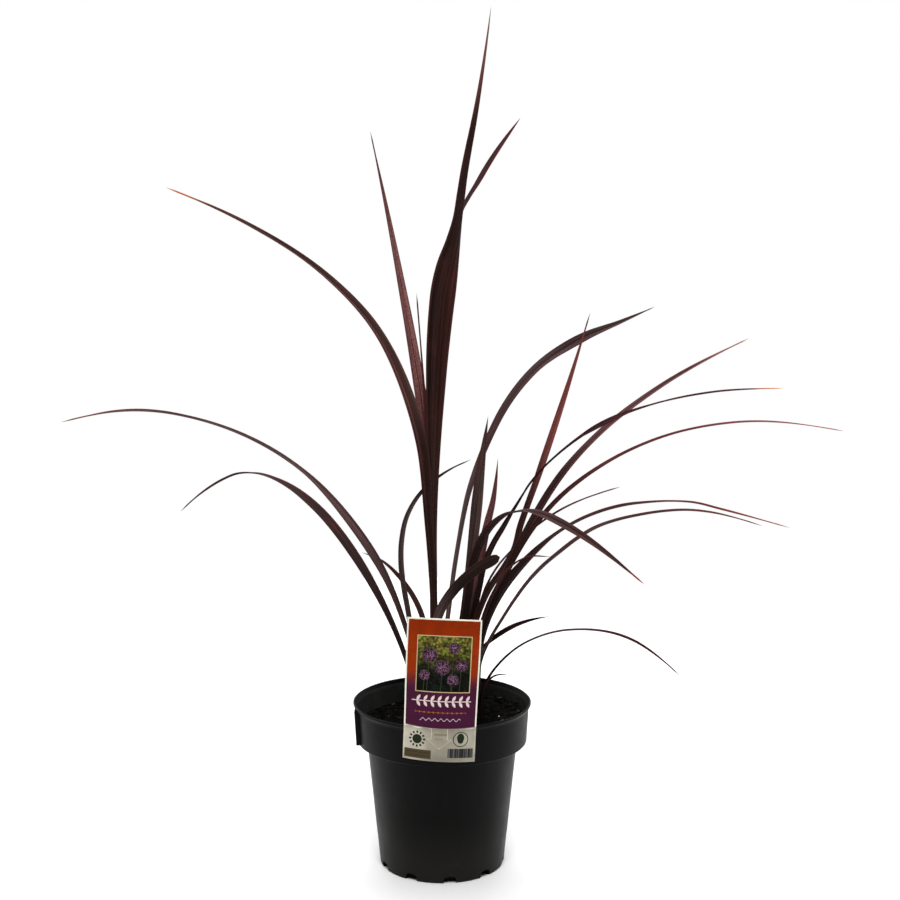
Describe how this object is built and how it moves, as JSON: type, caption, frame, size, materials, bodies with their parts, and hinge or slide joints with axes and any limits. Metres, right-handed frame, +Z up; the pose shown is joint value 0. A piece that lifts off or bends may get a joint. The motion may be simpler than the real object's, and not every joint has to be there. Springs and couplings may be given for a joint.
{
  "type": "potted cordyline",
  "caption": "Grass-leaved cordyline with dark red arching leaves, growing in a black nursery pot with a hang-on label.",
  "frame": {"origin": "middle of the pot's flat underside", "axes": "+Z up along the pot's axis; the label is at the front, towards -Y; +X is to the right seen from the front"},
  "size_m": [0.7244, 0.4083, 0.807],
  "materials": {
    "pot_plastic": "satin moulded black",
    "potting_mix": "moist bark and peat, rough",
    "printed_card": "print on a thin plastic card",
    "stem": "pale brown, fibrous",
    "leaf_maroon": "dark maroon leaf, satin, lengthwise veins",
    "leaf_red_brown": "red-brown leaf, satin",
    "leaf_rose": "rose-red leaf, satin"
  },
  "bodies": {
    "root": {"nursery_pot": "pot_plastic", "potting_soil": "potting_mix", "plant_label": "printed_card", "stem_left": "stem", "stem_middle": "stem", "stem_right": "stem", "leaf_tall": "leaf_maroon", "leaf_upper_left": "leaf_maroon", "leaf_rose": "leaf_rose", "leaf_narrow_upright": "leaf_red_brown", "leaf_behind_tall": "leaf_maroon", "leaf_long_left": "leaf_maroon", "leaf_twisted_left": "leaf_maroon", "leaf_short_left": "leaf_maroon", "leaf_hooked": "leaf_maroon", "leaf_cut_short": "leaf_maroon", "leaf_grey_arch": "leaf_maroon", "leaf_dark_upright": "leaf_maroon", "leaf_short_red": "leaf_red_brown", "leaf_falling_front": "leaf_red_brown", "leaf_orange_tip": "leaf_maroon", "leaf_high_right": "leaf_maroon", "leaf_tall_red": "leaf_red_brown", "leaf_long_right": "leaf_maroon", "leaf_thin_right": "leaf_maroon", "leaf_wide_right": "leaf_maroon", "leaf_lower_right": "leaf_maroon", "leaf_small_right": "leaf_maroon", "leaf_over_rim": "leaf_maroon", "leaf_curled": "leaf_red_brown", "leaf_sliver": "leaf_red_brown"}
  },
  "joints": []
}
